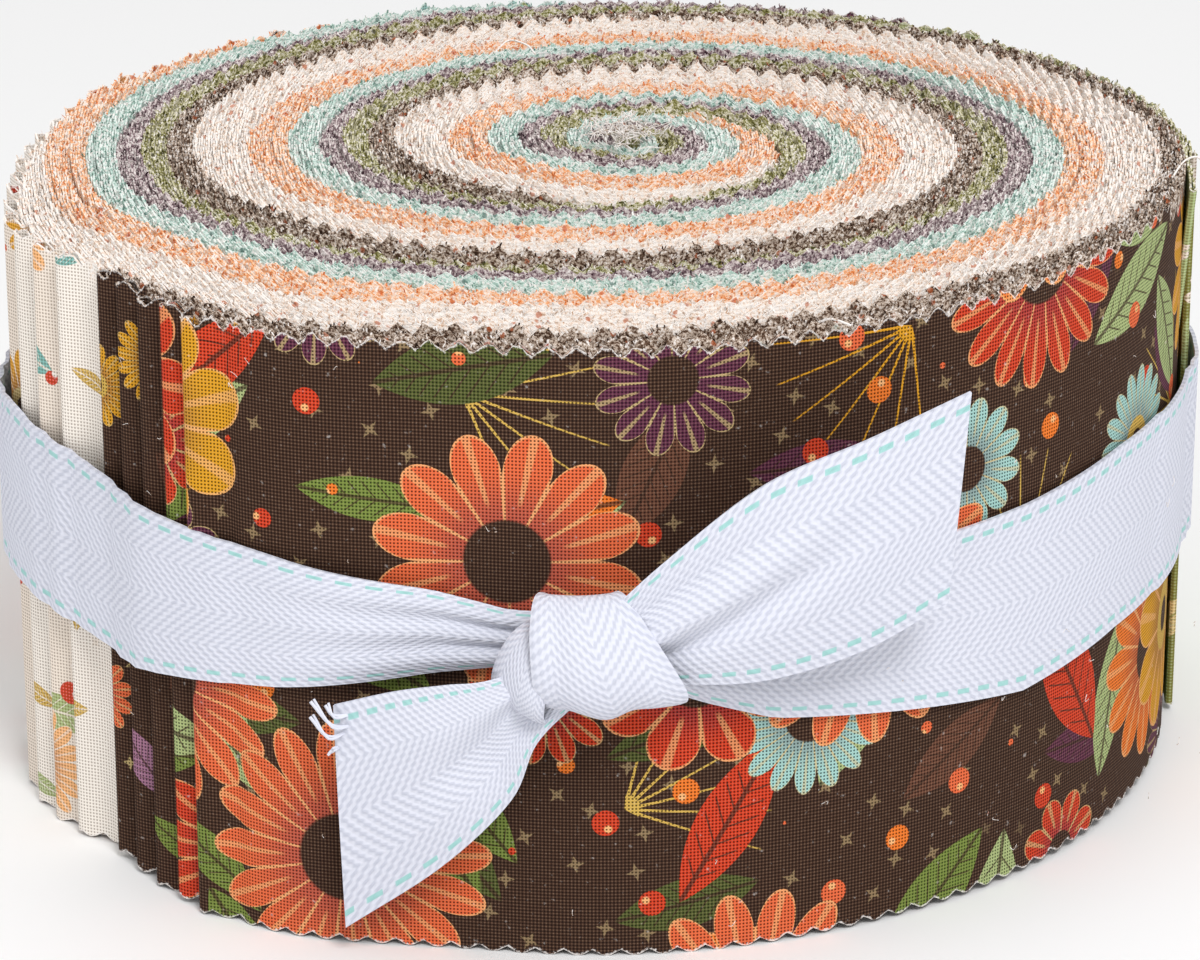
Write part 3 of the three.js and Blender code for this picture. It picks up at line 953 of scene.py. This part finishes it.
def ribbon_cloth():
    """Herringbone twill, with painted shade in its grooves, and a dashed line woven along both edges."""
    shade = Shade("ribbon_twill")
    cloth = shade.scaled(shade.node("ShaderNodeTexCoord").outputs["UV"], 1 / MM)
    axes = shade.node("ShaderNodeSeparateXYZ", {"Vector": cloth})
    along, across = axes.outputs[0], axes.outputs[1]
    zigzag = shade.math("PINGPONG", across, CHEVRON)
    slant = shade.math("FRACT", shade.math("DIVIDE", shade.math("ADD", along, zigzag), TWILL))
    rib = shade.times(shade.math("PINGPONG", slant, 0.5), 2.0)
    yarn = shade.math("SINE", shade.times(across, 2 * math.pi / RIBBON_YARN))
    height = shade.math("MULTIPLY_ADD", yarn, 0.22, rib)
    # Painted shade: the twill is darker where its height is low, in the grooves
    twill_with_painted_shade = shade.mix(shade.step(height, 0.1, 0.75), linear(RIBBON_GROOVE_PAINTED_SHADE), linear(RIBBON_WHITE))
    from_edge = shade.math("PINGPONG", across, RIBBON_WIDTH / 2)
    line = shade.step(shade.math("ABSOLUTE", shade.minus(from_edge, DASH_INSET)), 0.34, 0.2)
    beat = shade.times(shade.math("FRACT", shade.math("DIVIDE", along, DASH_PITCH)), DASH_PITCH)
    dash = shade.times(shade.step(beat, DASH_LENGTH + 0.1, DASH_LENGTH - 0.1), line)
    colour = shade.mix(shade.times(dash, 0.85), twill_with_painted_shade, linear(DASH_COLOUR))
    return shade.finish(colour, 0.7, height, distance=0.00012, strength=0.6)


# The ribbon


def band_radius(turned):
    """The widest radius of the roll near a place, so that the band bridges the steps."""
    widest = np.zeros_like(turned)
    for offset in BRIDGED:
        place = np.mod(turned + offset, 360)
        ended = np.sum(FOLDS[None, :] < place[:, None], axis=1)
        # The outermost end lies FLAP_LEAN / 3 farther back where the band's upper edge crosses it
        past_flap = place - FOLDS[-1] + FLAP_BACK + FLAP_LEAN / 3
        along = np.clip(1 + past_flap / FLAP_SPREAD, 0, 1)
        lift = np.where(past_flap <= 0, 0.5 * FLAP_LIFT * along**2, 0)
        to_folds = np.abs(FOLDS[None, :-1] - place[:, None])
        puffs = np.where(np.arange(STRIP_COUNT - 1) < STRIP_COUNT - TIGHT_FOLDS, PUFF, TIGHT_PUFF * PUFF)
        lift = lift + np.max(puffs * np.clip(1 + PUFF_HOLD - to_folds / PUFF_TURN, 0, 1), axis=1)
        point = wound_point(place, seam_radius(place, ended) + lift)
        widest = np.maximum(widest, np.linalg.norm(point - CENTRE, axis=1))
    return widest


def thin_sheet(grid, uv):
    """The ribbon's cloth on a grid of middle points, stations by rows."""
    lengthwise = np.gradient(grid, axis=0)
    crosswise = np.gradient(grid, axis=1)
    normal = unit(np.cross(lengthwise, crosswise))
    half = normal * RIBBON_CLOTH / 2
    return closed_sheet(grid + half, grid - half, uv, (0, 0))


def band_grid():
    azimuth = KNOT_AZIMUTH + np.linspace(0.5, 359.5, BAND_STATIONS)
    edges = np.array(BAND_EDGES)
    lower = np.interp(azimuth, edges[:, 0], edges[:, 1], period=360)
    upper = np.interp(azimuth, edges[:, 0], edges[:, 2], period=360)
    across = np.linspace(0, 1, BAND_ROWS)
    from_knot = np.abs(np.mod(azimuth - KNOT_AZIMUTH + 180, 360) - 180)
    gathered = 1 - smooth(from_knot / PLEAT_REACH)
    pleat = PLEAT_DEPTH * gathered[:, None] * (0.5 - 0.5 * np.cos(2 * math.pi * PLEATS * across))[None, :]
    radius = band_radius(FIRST_FOLD_AZIMUTH - azimuth)[:, None] + RIBBON_GAP + pleat
    angle = np.radians(azimuth)[:, None]
    grid = np.stack([
        CENTRE[0] + radius * np.cos(angle),
        CENTRE[1] + radius * np.sin(angle),
        lower[:, None] + (upper - lower)[:, None] * across[None, :],
    ], -1)
    run = np.radians(azimuth - azimuth[0]) * np.mean(radius)
    uv = np.stack(np.broadcast_arrays(run[:, None], across[None, :] * RIBBON_WIDTH), -1)
    return grid, uv


def edged_grid(table, size, belly, length, roundness=1.0, margin=0.0, dents=()):
    """A grid between two edges, from a table with both edges' points in each row.

    Each dent has its place across and drift, its width, its depth and where it begins and ends.
    """
    stations, rows = size
    first = catmull([row[0] for row in table], stations)
    second = catmull([row[1] for row in table], stations)
    across = np.linspace(0, 1, rows)
    along = np.linspace(0, 1, stations)
    grid = first[:, None] + (second - first)[:, None] * across[None, :, None]
    profile = np.maximum(np.sin(math.pi * across), 0) ** roundness
    grid[:, :, 1] -= belly * profile[None, :] * (0.35 + 0.65 * np.sin(math.pi * along))[:, None]
    for place, drift, width, depth, begins, ends in dents:
        away = (across[None, :] - place - drift * along[:, None]) / width
        reach = smooth((along - begins) / 0.12) * smooth((ends - along) / 0.3)
        grid[:, :, 1] += depth * np.exp(-(away**2)) * reach[:, None]
    span = margin + across * (RIBBON_WIDTH - 2 * margin)
    uv = np.stack(np.broadcast_arrays(along[:, None] * length, span[None, :]), -1)
    return grid, uv


# The knot and the ribbon's ends: both edges' points, in rows along each part
WRAP_MARGIN = 2.6
WRAP_SAG = 1.5
WRAP_SAG_PLACE = 0.4
WRAP_SAG_WIDTH = 0.17
FRONT_WRAP = [
    ((-4.6, -63.5, 39.4), (0.2, -63.5, 39.0)),
    ((-6.2, -65.6, 40.4), (1.9, -65.4, 40.5)),
    ((-6.7, -68.0, 38.2), (4.4, -67.2, 37.4)),
    ((-6.6, -69.2, 34.8), (6.6, -67.8, 34.0)),
    ((-6.2, -68.8, 31.6), (8.0, -67.2, 31.2)),
    ((-4.6, -66.8, 29.4), (7.8, -66.0, 29.8)),
    ((-3.4, -63.6, 29.6), (6.4, -63.6, 30.2)),
]
LEFT_WRAP = [
    ((-6.2, -64.8, 38.0), (-4.4, -67.0, 36.8)),
    ((-8.4, -65.2, 36.4), (-5.2, -68.0, 33.4)),
    ((-9.9, -64.8, 33.6), (-5.6, -68.4, 30.4)),
    ((-10.4, -64.2, 30.8), (-5.6, -67.6, 28.4)),
    ((-9.4, -63.4, 28.6), (-5.0, -65.2, 27.4)),
]
LEFT_TAIL = [
    ((-4.0, -65.5, 34.5), (-1.5, -65.8, 30.5)),
    ((-10.4, -66.3, 32.1), (-6.2, -66.3, 25.6)),
    ((-15.0, -65.8, 31.3), (-8.8, -66.0, 19.3)),
    ((-20.0, -64.4, 30.0), (-15.6, -64.4, 11.6)),
    ((-25.8, -62.0, 27.6), (-25.1, -61.0, 3.4)),
]
RIGHT_TAIL = [
    ((-1.5, -65.4, 36.5), (1.0, -65.2, 31.5)),
    ((6.2, -66.7, 44.6), (7.0, -65.3, 31.3)),
    ((15.2, -67.5, 52.4), (15.6, -64.6, 31.4)),
    ((25.0, -66.0, 56.4), (24.9, -62.8, 33.7)),
    ((34.6, -62.4, 59.8), (33.1, -60.0, 37.5)),
]

# The dents: place across, drift, width, depth, begins, ends
FRONT_DENTS = [(0.3, -0.25, 0.1, 0.5, 0.1, 1.2), (0.85, -0.3, 0.1, 0.45, 0.3, 1.2)]
LEFT_DENTS = [
    (0.62, 0.1, 0.2, 1.5, 0.08, 0.75),
    (0.2, 0.1, 0.12, -0.5, 0.1, 0.9),
    (0.35, 0.3, 0.1, 0.5, 0.1, 0.9),
]
RIGHT_DENTS = [
    (0.86, -0.55, 0.09, 1.2, 0.04, 0.8),
    (0.66, -0.55, 0.1, -0.6, 0.04, 0.85),
    (0.3, 0.05, 0.12, 0.5, 0.1, 0.9),
]

# The yarns of the frayed corner, each with a foot, a knee and a tip, and how its twin leaves it
FRAYED_CORNER = [
    ((-24.2, -62.6, 25.6), (-26.0, -63.6, 26.2), (-28.0, -62.8, 28.3)),
    ((-24.6, -62.4, 24.9), (-26.4, -63.4, 24.9), (-28.1, -62.6, 26.6)),
    ((-24.2, -62.6, 26.8), (-25.8, -63.2, 27.0), (-26.6, -62.8, 27.9)),
    ((-25.4, -62.2, 23.2), (-25.9, -62.9, 23.4), (-26.4, -62.6, 22.6)),
]
CORNER_YARN = 0.17
TWIN_YARN = 0.14
TWIN_KNEE = (0.1, -0.2, -0.15)
TWIN_TIP = (0.3, 0.1, 0.2)


def make_ribbon():
    parts = [thin_sheet(*band_grid())]
    front, front_uv = edged_grid(
        FRONT_WRAP, (44, 26), belly=1.7, length=24, roundness=0.55, margin=WRAP_MARGIN, dents=FRONT_DENTS
    )
    across = np.linspace(0, 1, front.shape[1])[None, :]
    late = np.linspace(0, 1, front.shape[0])[:, None] ** 3
    front[:, :, 2] -= WRAP_SAG * late * np.exp(-(((across - WRAP_SAG_PLACE) / WRAP_SAG_WIDTH) ** 2))
    side = edged_grid(LEFT_WRAP, (34, 18), belly=1.8, length=16, roundness=0.6, margin=WRAP_MARGIN)
    left = edged_grid(LEFT_TAIL, (60, 40), belly=1.4, length=36, dents=LEFT_DENTS)
    right = edged_grid(RIGHT_TAIL, (70, 40), belly=1.4, length=42, dents=RIGHT_DENTS)
    for grid, uv in ((front, front_uv), side, left, right):
        parts.append(thin_sheet(grid, uv))
    for foot, knee, tip in FRAYED_CORNER:
        parts.append(thread([foot, knee, tip], CORNER_YARN, 0))
        parts.append(thread([foot, np.add(knee, TWIN_KNEE), np.add(tip, TWIN_TIP)], TWIN_YARN, 0))
    piece = add_mesh("ribbon", parts, [ribbon_cloth()])
    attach(piece, "root")
    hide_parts("ribbon_tie")


# The camera, the light and the floor, in metres and degrees

# It looks down at 20.5 degrees, and is turned a little more to frame the roll as in the photograph
LENS = 147.2
CAMERA_PLACE = (0.0, -0.4951, 0.2169)
CAMERA_TILT = 20.5 + 0.485
CAMERA_TURN = 0.026
# Each light's place, size and power in watts
LIGHTS = {
    "key": ((0.25, -0.8, 0.95), 0.4, 7.5),
    "fill": ((-0.8, -0.6, 0.7), 0.9, 1),
}
LIGHT_AIM = (0, 0, 0.03)
WORLD_STRENGTH = 0.67
FLOOR_REACH = 3.0
FLOOR_WHITE = (0.98, 0.98, 0.98, 1)


def make_camera():
    data = bpy.data.cameras.new("camera")
    data.lens = LENS
    data.sensor_width = 36.0
    data.clip_start = 0.01
    data.clip_end = 100.0
    camera = bpy.data.objects.new("camera", data)
    camera.location = CAMERA_PLACE
    camera.rotation_euler = (math.radians(90 - CAMERA_TILT), 0, math.radians(CAMERA_TURN))
    bpy.context.scene.collection.objects.link(camera)
    bpy.context.scene.camera = camera


def add_light(name, place, size, power):
    data = bpy.data.lights.new(name, "AREA")
    data.shape = "DISK"
    data.size = size
    data.energy = power
    light = bpy.data.objects.new(name, data)
    light.location = place
    way = np.array(LIGHT_AIM) - np.array(place)
    flat = math.hypot(way[0], way[1])
    light.rotation_euler = (math.atan2(flat, -way[2]), 0, math.atan2(way[1], way[0]) - math.pi / 2)
    bpy.context.scene.collection.objects.link(light)


def make_studio():
    world = bpy.data.worlds.new("studio")
    world.use_nodes = True
    background = world.node_tree.nodes["Background"]
    background.inputs["Color"].default_value = (1, 1, 1, 1)
    background.inputs["Strength"].default_value = WORLD_STRENGTH
    scene = bpy.context.scene
    scene.world = world
    scene.view_settings.view_transform = "Standard"
    scene.cycles.max_bounces = 4
    scene.cycles.diffuse_bounces = 2
    scene.cycles.glossy_bounces = 1
    for name, (place, size, power) in LIGHTS.items():
        add_light(name, place, size, power)
    corners = [(x * FLOOR_REACH, y * FLOOR_REACH, 0) for x, y in ((-1, -1), (1, -1), (1, 1), (-1, 1))]
    mesh = bpy.data.meshes.new("floor")
    mesh.from_pydata(corners, [], [(0, 1, 2, 3)])
    floor = bpy.data.objects.new("floor", mesh)
    shade = Shade("floor_paper")
    mesh.materials.append(shade.finish(FLOOR_WHITE, 0.8))
    bpy.context.scene.collection.objects.link(floor)


make_camera()
make_studio()
turned, middle = wind()
edges = {family: cut_edge(family) for family in PRINTS}
prints = {family: [print_cloth(family, version) for version in (0, 1)] for family in PRINTS}
reach = outer_reach(turned, middle)
for k in range(STRIP_COUNT):
    family = FAMILY_OF[k]
    version = int(k > 1) if family == "brown" else k % 2
    make_strip(k, turned, middle, reach, [prints[family][version], edges[family]])
make_ribbon()
